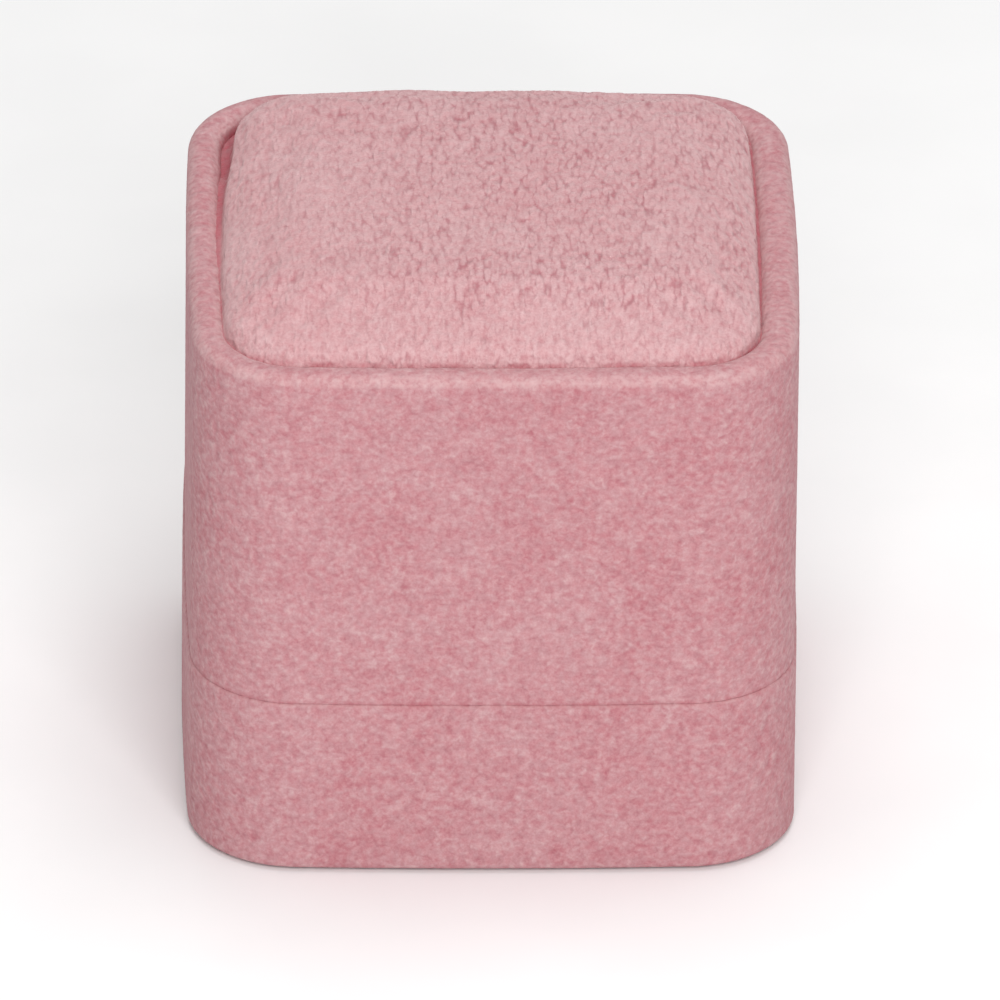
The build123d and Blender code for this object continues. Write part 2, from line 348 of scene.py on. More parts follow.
near, flat = ripple_of_rims(base_wrap, base_z1, 1.2)
# painted shade just below the seam between lid and base
mark(base_wrap, 0.34 * smooth(near, 0.62, 1.0))
near, flat = ripple_of_rims(lid_wrap, lid_z0, 1.2)
co = coords(lid_wrap.data) / MM
off = np.tile([p[0] for p in lid_path], len(s_lid))
inner = smooth(co[:, 2], lid_z1 - 3.2, lid_z1 - 1.6) * (1 - smooth(off, -2.6, -1.5))
flat = np.column_stack([co[:, :2], np.zeros(len(co))])
co += normals(lid_wrap.data) * (inner * (0.08 * noise(flat / 4.2, 93) + 0.06 * noise(flat / 1.5, 94)))[:, None]
RIM_SHIFT = 0.30                                          # the turned-over cloth lies thicker on the right of the well than on the left
co[:, 0] -= RIM_SHIFT * inner * (smooth(co[:, 0], 18, 24) + smooth(-co[:, 0], 18, 24) * (1 - 0.5 * smooth(-co[:, 1], -5, 12)))
set_coords(lid_wrap.data, co * MM)
# painted shade, in a dark red, down the inside of the rim into the well beside the pad, and along the lid's lower edge
# at the seam
well_shade = smooth(co[:, 2], lid_z1 - 8.0, lid_z1 - 7.0) * (1 - smooth(co[:, 2], lid_z1 - 1.45, lid_z1 - 0.65)) * (off < -2.3)
line = smooth(near, 0.72, 0.95) * np.clip(0.65 + 0.8 * noise(flat / 1.1, 95), 0.1, 1.0)
mark(lid_wrap, np.maximum(0.45 * line, well_shade))

neck_half = half("neck_velvet")
neck_z = z_of("neck_velvet")
n_out = half("neck_board") - neck_half
n_in = n_out - 1.5
n_face = n_in - 0.8
NECK_TURN_Z = 20.0
neck_path, neck_shown = join_path(
    (run([(n_face, NECK_TURN_Z), (n_face, neck_z[1] - 0.9)], 0.55), 0.4),
    (arc(n_face + 0.9, neck_z[1] - 0.9, 0.9, 180, 90, 4), 1.0),
    (run([(n_face + 0.9, neck_z[1]), (-0.9, neck_z[1])], 0.5), 1.0),
    (arc(-0.9, neck_z[1] - 0.9, 0.9, 90, 0, 4), 0.6),
    (run([(0, neck_z[1] - 0.9), (0, neck_z[0])], 0.6), 0.35),
    (run([(0, neck_z[0]), (n_out + 0.03, neck_z[0])], 1.0), 0.0),
    (run([(n_out + 0.03, neck_z[0]), (n_out + 0.03, neck_z[1] - 0.78)], 5.0), 0.0),
    (run([(n_out + 0.03, neck_z[1] - 0.78), (n_in - 0.03, neck_z[1] - 0.78)], 2.0), 0.0),
    (run([(n_in - 0.03, neck_z[1] - 0.78), (n_in - 0.03, NECK_TURN_Z), (n_face, NECK_TURN_Z)], 2.5), 0.0),
)
s_neck, L_neck = round_the_plan(0.6, length=190.0)
neck_wrap = sweep("neck_velvet_wrap", neck_half, s_neck, neck_path)
nap_of_wall(neck_wrap, len(neck_path), neck_shown, s_neck, L_neck, 0.04, 0.03, 0.03, 13)

# the lid's lining: a sleeve of thin cloth against the board, its lower edge turned under
lin_out = half("lid_lining_sleeve")
lin_t = 0.68
lin_path, lin_shown = join_path(
    (run([(-lin_t, lining_z[1]), (-lin_t, lining_z[0] + 0.3)], 0.7), 1.0),
    (arc(-lin_t + 0.3, lining_z[0] + 0.3, 0.3, 180, 270, 3), 1.0),
    (run([(-lin_t + 0.3, lining_z[0]), (0, lining_z[0])], 0.5), 0.2),
    (run([(0, lining_z[0]), (0, lining_z[1])], 4.0), 0.0),
    (run([(0, lining_z[1]), (-lin_t, lining_z[1])], 0.5), 0.2),
)
s_lin, L_lin = round_the_plan(0.7, length=195.0)
lining = sweep("lid_lining_cloth", lin_out, s_lin, lin_path)
nap_of_wall(lining, len(lin_path), lin_shown, s_lin, L_lin, 0.10, 0.02, 0.0, 19, seam=0.15)


# ------------------------------------------------------------------ padded panels
def panel_mesh(name, n, rows, bottom_z, reference, corner):
    """A closed pad of squares: rows (offset, z) up the side from the bottom, then a grid over the top.

    An offset or a height may be one number, or one for each place round the outline. The grid turns from the
    outline's shape at its rim to a true square at the middle. Also returns how many points the side has, and
    where the grid over the top starts.
    """
    count = 4 * n
    s = (0.125 + np.arange(count) / count) % 1.0
    pts, nor = outline(reference, s, corner)

    def lattice(ring, z):
        """Interior points of a grid whose rim is the ring, and the index of every grid node."""
        size = np.abs(ring).max() * 0.985
        idx = -np.ones((n + 1, n + 1), int)
        extra = []
        # the ring runs anticlockwise from the back-left corner: left side, front, right side, back
        for j in range(count):
            k, r = divmod(j, n)
            a, b = [(0, n - r), (r, 0), (n, r), (n - r, n)][k]
            idx[a, b] = j
        for a in range(1, n):
            for b in range(1, n):
                u, v = 2 * a / n - 1, 2 * b / n - 1
                rho = max(abs(u), abs(v))
                if rho < 1e-9:
                    p = np.zeros(2)
                else:
                    uu, vv = u / rho, v / rho
                    if uu <= -1 + 1e-9:
                        t = 0 + (1 - vv) / 2
                    elif vv <= -1 + 1e-9:
                        t = 1 + (1 + uu) / 2
                    elif uu >= 1 - 1e-9:
                        t = 2 + (1 + vv) / 2
                    else:
                        t = 3 + (1 - uu) / 2
                    t = (t * n) % count
                    i0 = int(math.floor(t + 1e-9)) % count
                    f = t - math.floor(t + 1e-9)
                    edge = ring[i0] * (1 - f) + ring[(i0 + 1) % count] * f
                    w = rho ** 3
                    p = rho * (w * edge + (1 - w) * np.array([uu, vv]) * size)
                idx[a, b] = count + len(extra)
                extra.append([p[0], p[1], z])
        return idx, extra

    verts, faces = [], []
    starts = []
    for off, z in rows:
        ring = pts + nor * np.broadcast_to(off, (count,))[:, None]
        starts.append(len(verts))
        verts += np.column_stack([ring, np.broadcast_to(z, (count,))]).tolist()
    for a, b in zip(starts[:-1], starts[1:]):
        for j in range(count):
            k = (j + 1) % count
            faces.append([a + j, a + k, b + k, b + j])
    sides = len(verts)
    top_start = None
    row = starts[-1]
    idx, extra = lattice(np.array(verts[row:row + count])[:, :2], float(np.mean(rows[-1][1])))
    start = len(verts)
    top_start = (start, start + len(extra))
    verts += extra
    ids = np.where(idx < count, row + idx, start + idx - count)
    for a in range(n):
        for b in range(n):
            faces.append([int(ids[a, b]), int(ids[a + 1, b]), int(ids[a + 1, b + 1]), int(ids[a, b + 1])])
    # the flat underside: a fan of squares about its middle
    ring = np.array(verts[:count])
    last = 0
    for shrink in (0.72, 0.4, 0.12):
        start = len(verts)
        verts += np.column_stack([ring[:, :2] * shrink, np.full(count, bottom_z)]).tolist()
        for j in range(count):
            k = (j + 1) % count
            faces.append([last + k, last + j, start + j, start + k])
        last = start
    verts.append([0.0, 0.0, bottom_z])
    faces += [[last + (j + 1) % count, last + j, len(verts) - 1] for j in range(count)]
    return make(name, verts, faces), sides, top_start


def inflate(ob, pinned, cap_mm, pressure=4.0, frames=12, scale=12.0, stiff=25.0):
    """Blows a closed mesh up as cloth. It is simulated larger than life, brought back, and no point moves past the cap."""
    me = ob.data
    rest = coords(me).copy()
    centre = rest.mean(0)
    work = bpy.data.objects.new("work_" + ob.name, me.copy())
    bpy.context.scene.collection.objects.link(work)
    set_coords(work.data, (rest - centre) * scale)
    group = work.vertex_groups.new(name="held")
    for w in np.unique(np.round(pinned, 2)):
        if w > 0:
            group.add([int(i) for i in np.nonzero(np.round(pinned, 2) == w)[0]], float(w), "REPLACE")
    mod = work.modifiers.new("cloth", "CLOTH")
    c = mod.settings
    c.quality = 4
    c.mass = 0.3
    c.tension_stiffness = c.compression_stiffness = stiff
    c.shear_stiffness = stiff * 0.6
    c.bending_stiffness = 2.0
    c.use_pressure = True
    c.uniform_pressure_force = pressure
    c.effector_weights.gravity = 0.0
    c.vertex_group_mass = "held"
    mod.point_cache.frame_start, mod.point_cache.frame_end = 1, frames
    scene = bpy.context.scene
    for f in range(1, frames + 1):
        scene.frame_set(f)
    dg = bpy.context.evaluated_depsgraph_get()
    out = coords(work.evaluated_get(dg).to_mesh())
    work.evaluated_get(dg).to_mesh_clear()
    moved = out / scale + centre - rest
    far = np.linalg.norm(moved, axis=1)
    moved *= np.minimum(1.0, cap_mm * MM / np.maximum(far, 1e-12))[:, None]
    scene.frame_set(1)
    bpy.data.objects.remove(work)
    print(f"inflate {ob.name}: mean {far.mean() / MM:.2f} mm, most {far.max() / MM:.2f} mm")
    set_coords(me, rest + moved)


def subdivide(ob, levels):
    mod = ob.modifiers.new("smooth", "SUBSURF")
    mod.levels = mod.render_levels = levels
    mod.uv_smooth = "NONE"
    dg = bpy.context.evaluated_depsgraph_get()
    me = bpy.data.meshes.new_from_object(ob.evaluated_get(dg))
    ob.modifiers.clear()
    old = ob.data
    ob.data = me
    bpy.data.meshes.remove(old)
    me.polygons.foreach_set("use_smooth", [True] * len(me.polygons))


pad_half = half("lid_pad_velvet")
pad_z = z_of("lid_pad_velvet")
rim_z = lid_z1
N_PAD = 60
PAD_CORNER = 7.6
s_pad = (0.125 + np.arange(4 * N_PAD) / (4 * N_PAD)) % 1.0
edge_at, edge_nor = outline(pad_half, s_pad, PAD_CORNER)
rim_at = outline(top_half + 0.02, np.arange(2400) / 2400)[0]
reach = np.sqrt(((edge_at[:, None, :] - rim_at[None, :, :]) ** 2).sum(2)).min(1)   # from the pad's own edge to the rim's velvet
ex, ey = edge_at[:, 0], edge_at[:, 1]
p3 = np.column_stack([edge_at, np.zeros(len(edge_at))])
# the pad is made up a little askew in its well: hard against the rim in front, and leaving it towards the back of the left side
gap = -0.50 + 0.38 * smooth(ey, 20, 25)
on_left, on_right = smooth(-ex, 20, 24) * smooth(ey, -26, -21), smooth(ex, 20, 24) * smooth(ey, -26, -21)
gap = gap * (1 - on_left) + np.interp(ey, [-22, -9, 6.5, 16, 21, 25], [-0.46, -0.32, 0.12, 0.84, 0.92, 0.55]) * on_left
gap = gap * (1 - on_right) + np.interp(ey, [-22, -15, -3, 8, 21, 25], [0.18, 0.32, 0.50, 0.42, 0.36, 0.22]) * on_right
at_front = smooth(-ey, 20, 25)
gap = gap + (0.05 + 0.05 * at_front) * noise(p3 / 4.2, 35) + (0.04 + 0.05 * at_front) * noise(p3 / 1.6, 36)
rim_off = reach - np.clip(gap, -0.75, 2.0)
roll_w = 3.3 + 1.5 * smooth(-ey, 18, 25) - 0.5 * smooth(ey, 20, 25)                # how far the shoulder reaches in


def crown(x, y):
    """The pad's upper surface."""
    z = pad_z[1] - 0.12 - (x * x + y * y) / 1000.0
    z = z - 1.15 * smooth(-y, 15.5, 25.5) ** 1.3 - 0.35 * smooth(np.abs(x), 17, 25)
    q = np.column_stack([x, y, np.zeros(len(x))])
    z = z + 0.16 * (1 - smooth(x, -9, -3)) * smooth(y, 14, 22) + 0.10 * noise(q / 9.0, 38) + 0.05 * noise(q / 4.5, 39)
    return z


front = smooth(-ey, 18, 25)
tight = smooth(-ex, 16, 22) * (1 - smooth(gap, -0.1, 0.3))
shelf = rim_z - 0.62 - 0.18 * smooth(gap, -0.2, 0.3) - 0.75 * smooth(gap, 0.45, 0.8) + 0.15 * tight    # the gap's floor, where the cover meets the rim's inside
deep = np.minimum(rim_z - shelf, R_IN)
low_off = reach + R_IN - np.sqrt(R_IN ** 2 - (R_IN - deep) ** 2) + 0.08
low_off = low_off + RIM_SHIFT * (smooth(-ex, 20, 24) * (1 - 0.5 * smooth(-ey, -5, 12)) - smooth(ex, 20, 24))
rows = [(rim_off * 0 - 0.9, pad_z[0]), (-0.30, pad_z[0] + 0.10), (0.05, pad_z[0] + 0.6), (0.7 * reach - 0.05, pad_z[0] + 1.2),
        (low_off, shelf - 0.30), (low_off, shelf - 0.10), (0.5 * (low_off + rim_off), shelf), (rim_off + 0.02, shelf + 0.06)]
inner = edge_at + edge_nor * (rim_off - roll_w)[:, None]
top_at_edge = crown(inner[:, 0], inner[:, 1])
base_of_roll = rim_z - 0.20 - 0.06 * front + 0.13 * noise(p3 / 3.4, 40) + 0.09 * noise(p3 / 1.4, 41)
base_of_roll = np.maximum(base_of_roll - 0.06 * tight, shelf + 0.10)
bevel = 1 + 0.75 * front + 0.4 * tight * (1 - front)    # the front roll slopes where the others are round
for a in (10, 21, 32, 43, 54, 65, 77, 90):
    t = math.radians(a)
    rows.append((rim_off - roll_w * (1 - math.cos(t)), base_of_roll + (top_at_edge - base_of_roll) * math.sin(t) ** bevel))
pad, sides, (t0, t1) = panel_mesh("lid_pad_cover", N_PAD, rows, pad_z[0], pad_half, PAD_CORNER)
co = coords(pad.data) / MM
co[t0:t1, 2] = crown(co[t0:t1, 0], co[t0:t1, 1])
set_coords(pad.data, co * MM)
pins = 1.0 - smooth(co[:, 2], rim_z + 0.2, rim_z + 2.6)
inflate(pad, pins, 0.45, pressure=3.0)
co = coords(pad.data) / MM
top = co[:, 2].max()
if top > pad_z[1] - 0.05:
    co[:, 2] -= smooth(co[:, 2], rim_z, rim_z + 3.0) * (top - pad_z[1] + 0.05)
set_coords(pad.data, co * MM)
subdivide(pad, 2)
co = coords(pad.data) / MM
lift = smooth(co[:, 2], rim_z - 1.6, rim_z + 1.0)
# the pile lies flatter on the front roll, and is most ruffled right of the middle
ruffle = (1 - 0.6 * smooth(-co[:, 1], 17, 23)) * (0.45 + 0.55 * smooth(co[:, 0], -20, 0)) * (0.75 + 0.5 * fbm(co / 7.0, 1, 30))
rel = 0.04 * fbm(co / 6.0, 2, 31) + 0.015 * fbm(co / 2.2, 2, 32)
top, between = tufts(co, np.array([0.66, 1.30, 0.8]), 33)
push(pad, (rel + 0.12 * ruffle * (top - 0.6)) * lift)
# painted shade, dark and red, along the pad's edge where it meets the rim and down in the gap beside it; between the
# tufts the mark is partly the parted pile, partly painted shade
pad_edge_shade = smooth(co[:, 2], rim_z - 1.0, rim_z - 0.45) * (1 - smooth(co[:, 2], rim_z - 0.15, rim_z + 0.25))
pad_edge_shade = pad_edge_shade * np.clip(0.30 + 0.8 * noise(co / 1.3, 42), 0.0, 0.5)
mark(pad, np.clip(0.75 - 1.1 * ruffle, 0, 0.6) * lift, "flat")
beside = 0.33 * smooth(np.abs(co[:, 0]), 19, 23)
gap_floor_shade = 1 - smooth(co[:, 2] - beside, rim_z - 0.95, rim_z - 0.45)
mark(pad, np.maximum(np.maximum(0.28 * between * ruffle * lift, pad_edge_shade), gap_floor_shade))


def copy_of(name, nodes, voxel, turns=2, pick=None):
    """The CAD solids of those nodes in one new mesh, made again in even squares."""
    bm = bmesh.new()
    for n in nodes:
        bm.from_mesh(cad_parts[n].data)
    me = bpy.data.meshes.new(name)
    bm.to_mesh(me)
    bm.free()
    ob = bpy.data.objects.new(name, me)
    bpy.context.scene.collection.objects.link(ob)
    # remeshed larger than life, because very small voxels are refused
    set_coords(me, coords(me) * 100.0)
    mod = ob.modifiers.new("even", "REMESH")
    mod.mode = "VOXEL"
    mod.voxel_size = voxel * MM * 100.0
    mod.adaptivity = 0.0
    dg = bpy.context.evaluated_depsgraph_get()
    new = bpy.data.meshes.new_from_object(ob.evaluated_get(dg))
    ob.modifiers.clear()
    ob.data = new
    bpy.data.meshes.remove(me)
    set_coords(new, coords(new) / 100.0)
    if turns:
        bm = bmesh.new()
        bm.from_mesh(new)
        for _ in range(turns):
            bmesh.ops.smooth_vert(bm, verts=bm.verts, factor=0.5, use_axis_x=True, use_axis_y=True, use_axis_z=True)
        bm.to_mesh(new)
        bm.free()
    new.polygons.foreach_set("use_smooth", [True] * len(new.polygons))
    return ob


def biggest_shell(ob):
    """Keeps only the outermost closed surface of a mesh."""
    bm = bmesh.new()
    bm.from_mesh(ob.data)
    bm.verts.ensure_lookup_table()
    seen, shells = set(), []
    for v in bm.verts:
        if v.index in seen:
            continue
        stack, part = [v], []
        seen.add(v.index)
        while stack:
            w = stack.pop()
            part.append(w)
            for e in w.link_edges:
                o = e.other_vert(w)
                if o.index not in seen:
                    seen.add(o.index)
                    stack.append(o)
        shells.append(part)
    shells.sort(key=len, reverse=True)
    for part in shells[1:]:
        bmesh.ops.delete(bm, geom=part, context="VERTS")
    bm.to_mesh(ob.data)
    bm.free()
    return len(shells)


cush_z = z_of("cushion_velvet")
cush_half = half("cushion_velvet")
VOX = 0.62
cushion = copy_of("cushion_cover", ["cushion_velvet", "cushion_foam_front", "cushion_foam_rear", "cushion_card"], VOX, 2)
print("cushion shells", biggest_shell(cushion), len(cushion.data.vertices))
co = coords(cushion.data) / MM
pins = np.clip(1.0 - (co[:, 2] - (cush_z[0] + 1.0)) / 4.0, 0, 1)
inflate(cushion, pins, 0.45, pressure=3.0)
subdivide(cushion, 1)
co = coords(cushion.data) / MM
lift = np.clip((co[:, 2] - (cush_z[0] + 0.5)) / 2.0, 0, 1)
push(cushion, (0.10 * fbm(co / 5.0, 2, 51) + 0.05 * fbm(co / 1.8, 2, 52) + 0.05 * (tufts(co, np.array([0.9, 1.2, 1.0]), 53)[0] - 0.6)) * lift)

# hidden wadding and foam, cut from sheet: slightly uneven faces
foams = {}
for node, body_name, vox in (("cushion_foam_front", "cushion", 0.9), ("cushion_foam_rear", "cushion", 0.9),
                             ("lid_pad_foam", "lid", 0.9), ("lid_ceiling_foam", "lid", 0.45), ("cushion_riser_foam", "base", 0.7)):
    ob = copy_of(node + "_cut", [node], vox * (1), 1)
    biggest_shell(ob)
    co = coords(ob.data) / MM
    push(ob, -0.03 + 0.03 * fbm(co / 1.2, 2, 71))
    if node == "lid_pad_foam":
        # the wadding is drawn in under its cover's softer shoulder
        co = coords(ob.data) / MM
        floor_z = co[:, 2].min()
        co[:, :2] *= 0.95
        co[:, 2] = floor_z + (co[:, 2] - floor_z) * 0.80
        set_coords(ob.data, co * MM)
    foams[ob] = (node, body_name)

# the padded satin ceiling inside the lid
ceil_half = half("lid_ceiling_satin")
ceil_z = z_of("lid_ceiling_satin")
N_CEIL = 40
rows = [(-0.4, ceil_z[1]), (-0.35, ceil_z[1] - 0.02), (-0.05, ceil_z[1] - 0.25), (0.0, ceil_z[1] - 0.8), (-0.06, ceil_z[1] - 1.3), (-0.35, ceil_z[1] - 1.72), (-0.9, ceil_z[1] - 1.95), (-1.8, ceil_z[1] - 2.02)]
ceiling, _, _ = panel_mesh("lid_ceiling_cloth", N_CEIL, rows, ceil_z[1], ceil_half, CORNER_R + ceil_half - LID_HALF)
subdivide(ceiling, 2)
co = coords(ceiling.data) / MM
edge = np.clip((np.maximum(np.abs(co[:, 0]), np.abs(co[:, 1])) - 19.0) / 6.0, 0, 1)
ang = np.arctan2(co[:, 1], co[:, 0])
puckers = 0.05 * np.sin(ang * 44 + 2.0 * noise(co / 7.0, 81)) * edge
low_side = np.clip((ceil_z[1] - 0.9 - co[:, 2]) / 0.6, 0, 1)
push(ceiling, (puckers + 0.04 * fbm(co / 8.0, 2, 82) - 0.05) * low_side)


# ------------------------------------------------------------------ materials
def srgb(r, g, b):
    return tuple(((c / 255 + 0.055) / 1.055) ** 2.4 if c > 10 else c / 255 / 12.92 for c in (r, g, b)) + (1.0,)


class Nodes:
    def __init__(self, name):
        self.mat = bpy.data.materials.new(name)
        self.mat.use_nodes = True
        self.nt = self.mat.node_tree
        self.bsdf = self.nt.nodes["Principled BSDF"]
        self.coord = self.nt.nodes.new("ShaderNodeTexCoord").outputs["Object"]

    def new(self, kind, **props):
        n = self.nt.nodes.new(kind)
        for k, v in props.items():
            setattr(n, k, v)
        return n

    def link(self, a, b):
        self.nt.links.new(a, b)

    def scaled(self, vec, x, y, z):
        n = self.new("ShaderNodeVectorMath", operation="MULTIPLY")
        self.link(vec, n.inputs[0])
        n.inputs[1].default_value = (x, y, z)
        return n.outputs[0]

    def moved(self, vec, by, amount):
        """vec + (by - 0.5) * amount"""
        sub = self.new("ShaderNodeVectorMath", operation="SUBTRACT")
        self.link(by, sub.inputs[0])
        sub.inputs[1].default_value = (0.5, 0.5, 0.5)
        mad = self.new("ShaderNodeVectorMath", operation="MULTIPLY_ADD")
        self.link(sub.outputs[0], mad.inputs[0])
        mad.inputs[1].default_value = (amount,) * 3
        self.link(vec, mad.inputs[2])
        return mad.outputs[0]

    def noise(self, vec, scale, detail=2.0, rough=0.5, distort=0.0, colour=False):
        n = self.new("ShaderNodeTexNoise")
        self.link(vec, n.inputs["Vector"])
        n.inputs["Scale"].default_value = scale
        n.inputs["Detail"].default_value = detail
        n.inputs["Roughness"].default_value = rough
        n.inputs["Distortion"].default_value = distort
        return n.outputs["Color" if colour else "Fac"]

    def math(self, op, a, b=None, c=None, clamp=False):
        n = self.new("ShaderNodeMath", operation=op, use_clamp=clamp)
        for i, v in enumerate((a, b, c)):
            if v is None:
                continue
            if isinstance(v, (int, float)):
                n.inputs[i].default_value = v
            else:
                self.link(v, n.inputs[i])
        return n.outputs[0]

    def ramp(self, v, lo, hi, a=0.0, b=1.0):
        n = self.new("ShaderNodeMapRange", interpolation_type="SMOOTHSTEP")
        self.link(v, n.inputs["Value"])
        n.inputs["From Min"].default_value = lo
        n.inputs["From Max"].default_value = hi
        n.inputs["To Min"].default_value = a
        n.inputs["To Max"].default_value = b
        return n.outputs["Result"]

    def mix(self, f, a, b, mode="MIX"):
        n = self.new("ShaderNodeMix", data_type="RGBA", blend_type=mode)
        if isinstance(f, (int, float)):
            n.inputs[0].default_value = f
        else:
            self.link(f, n.inputs[0])
        for sock, v in ((n.inputs[6], a), (n.inputs[7], b)):
            if isinstance(v, tuple):
                sock.default_value = v
            else:
                self.link(v, sock)
        return n.outputs[2]

    def bump(self, height, distance, strength=1.0):
        n = self.new("ShaderNodeBump")
        n.inputs["Strength"].default_value = strength
        n.inputs["Distance"].default_value = distance
        self.link(height, n.inputs["Height"])
        self.link(n.outputs[0], self.bsdf.inputs["Normal"])
        return n


def velvet(name, dark, mid, light, stretch, bump=0.00012, sheen=0.3, wide_w=0.05, clump_w=0.38, tuft_w=0.72, tip_w=0.75, crease_w=0.16, part=(0.40, 0.61), parted_pile_and_shade_w=0.85, top_highlight_w=0.4, chroma=0.07, cells=None):
    """Short pile: a soft mottle at several sizes, from single tufts to where the cloth has been stroked, darker and
    redder between the tufts, paler and greyer on them, partly painted shade and light of the relief. Where a surface
    turns upward it is painted paler and greyer, a painted highlight. stretch is how tufts run."""
    m = Nodes(name)
    base = m.scaled(m.coord, *stretch)
    curl = m.moved(base, m.noise(base, 1 / (0.9 * MM), 1.0, colour=True), 0.55 * MM)
    wide = m.noise(base, 1 / (2.6 * MM), 1.0, 0.5)
    clump = m.noise(curl, 1 / (1.2 * MM), 0.0)
    tuft = m.noise(curl, 1 / (0.56 * MM), 0.0)
    tip = m.noise(m.coord, 1 / (0.27 * MM), 1.0, 0.8)
    patch = m.noise(m.coord, 1 / (9.0 * MM), 2.0, 0.5)
    at = m.new("ShaderNodeAttribute", attribute_name="parted_pile_and_shade", attribute_type="GEOMETRY")
    way = m.new("ShaderNodeSeparateXYZ")
    m.link(m.new("ShaderNodeNewGeometry").outputs["Normal"], way.inputs[0])
    wear_and_top_highlight = m.math("MULTIPLY", m.ramp(way.outputs[2], 0.15, 0.50), m.ramp(way.outputs[2], 1.0, 0.80, 0.35, 1.0))
    # each layer swings about zero
    v = m.math("MULTIPLY_ADD", wide, wide_w, -0.5 * wide_w)
    v = m.math("ADD", v, m.math("MULTIPLY_ADD", clump, clump_w, -0.5 * clump_w))
    v = m.math("ADD", v, m.math("MULTIPLY_ADD", tuft, tuft_w, -0.5 * tuft_w))
    v = m.math("ADD", v, m.math("MULTIPLY_ADD", tip, tip_w, -0.5 * tip_w))
    h = m.math("ADD", m.math("ADD", clump, m.math("MULTIPLY", tuft, 0.8)), m.math("MULTIPLY", tip, 0.3))
    low = m.math("MULTIPLY", v, -1.0, clamp=True)
    high = m.math("MULTIPLY", v, 1.0, clamp=True)
    # painted highlight: where the surface turns upward it is mixed towards a pale grey, as if lit from above
    c = m.mix(m.math("MULTIPLY", wear_and_top_highlight, top_highlight_w), mid, srgb(208, 173, 173))
    # darker and redder where the height is low, paler where it is high: partly the pile's own tone, partly painted
    # shade of the relief
    c = m.mix(low, c, dark)
    c = m.mix(high, c, light)
    # short gaps where the tufts part: curling lines, or the corners between rounded tufts of a size cells gives
    if cells is None:
        line = m.math("SUBTRACT", m.noise(curl, 1 / (0.68 * MM), 0.3, 0.6), 0.5)
        crease = m.math("MULTIPLY", m.ramp(m.math("MULTIPLY", line, line), 0.023, 0.0), m.ramp(m.noise(base, 1 / (0.8 * MM), 1.0), *part))
    else:
        cell = m.new("ShaderNodeTexVoronoi", feature="F1")
        m.link(curl, cell.inputs["Vector"])
        cell.inputs["Scale"].default_value = 1 / (cells[0] * MM)
        crease = m.math("MULTIPLY", m.ramp(cell.outputs["Distance"], cells[1], cells[2]), m.ramp(m.noise(base, 1 / (0.8 * MM), 1.0), *part, 0.35, 1.0))
    flat = m.new("ShaderNodeAttribute", attribute_name="flat", attribute_type="GEOMETRY")
    crease = m.math("MULTIPLY", crease, m.math("SUBTRACT", 1.0, flat.outputs["Fac"]))
    # darker in the creases: partly the redder roots of the parted pile, partly painted shade in the crease
    c = m.mix(m.math("MULTIPLY", crease, crease_w), c, dark)
    h = m.math("MULTIPLY_ADD", crease, -0.35 * crease_w, h)
    # painted shade in a dark red where the vertices are marked: the seam, the well, the pad's edge and the gap; between
    # tufts partly the parted pile
    c = m.mix(m.math("MULTIPLY", at.outputs["Fac"], parted_pile_and_shade_w), c, srgb(172, 86, 97))
    hsv = m.new("ShaderNodeHueSaturation")
    m.link(m.ramp(patch, 0.3, 0.7, 0.985, 1.015), hsv.inputs["Value"])
    tinge = m.ramp(m.noise(m.coord, 1 / (0.8 * MM), 1.0), 0.25, 0.75, 1 - chroma, 1 + chroma)
    m.link(m.math("MULTIPLY", m.ramp(patch, 0.3, 0.7, 1.04, 0.96), tinge), hsv.inputs["Saturation"])
    m.link(c, hsv.inputs["Color"])
    m.link(hsv.outputs[0], m.bsdf.inputs["Base Color"])
    m.bump(h, bump)
    m.bsdf.inputs["Roughness"].default_value = 0.92
    m.bsdf.inputs["Specular IOR Level"].default_value = 0.15
    m.bsdf.inputs["Sheen Weight"].default_value = sheen
    m.bsdf.inputs["Sheen Roughness"].default_value = 0.45
    m.bsdf.inputs["Sheen Tint"].default_value = srgb(246, 222, 222)
    return m.mat


DARK, MID, LIGHT = srgb(158, 77, 90), srgb(192, 140, 145), srgb(218, 189, 189)
velvet_wall = velvet("rose velvet on the walls", DARK, MID, LIGHT, (0.9, 0.9, 1.05), sheen=0.12)
# the pad's velvet has paler, greyer colours than the walls': partly the pile lying another way, partly painted light on
# the upward face
velvet_pad = velvet("rose velvet on the pad", srgb(164, 92, 102), srgb(206, 161, 164), srgb(230, 196, 197), (1.3, 0.44, 1.0), bump=0.0002, sheen=0.45, wide_w=0.0, clump_w=0.1, tuft_w=0.55, tip_w=0.92, crease_w=0.72, part=(0.33, 0.58), top_highlight_w=0.12, chroma=0.06, cells=(0.58, 0.38, 1.0))
velvet_in = velvet("rose velvet inside", DARK, MID, LIGHT, (1.0, 1.0, 1.0), sheen=0.3, top_highlight_w=0.2)


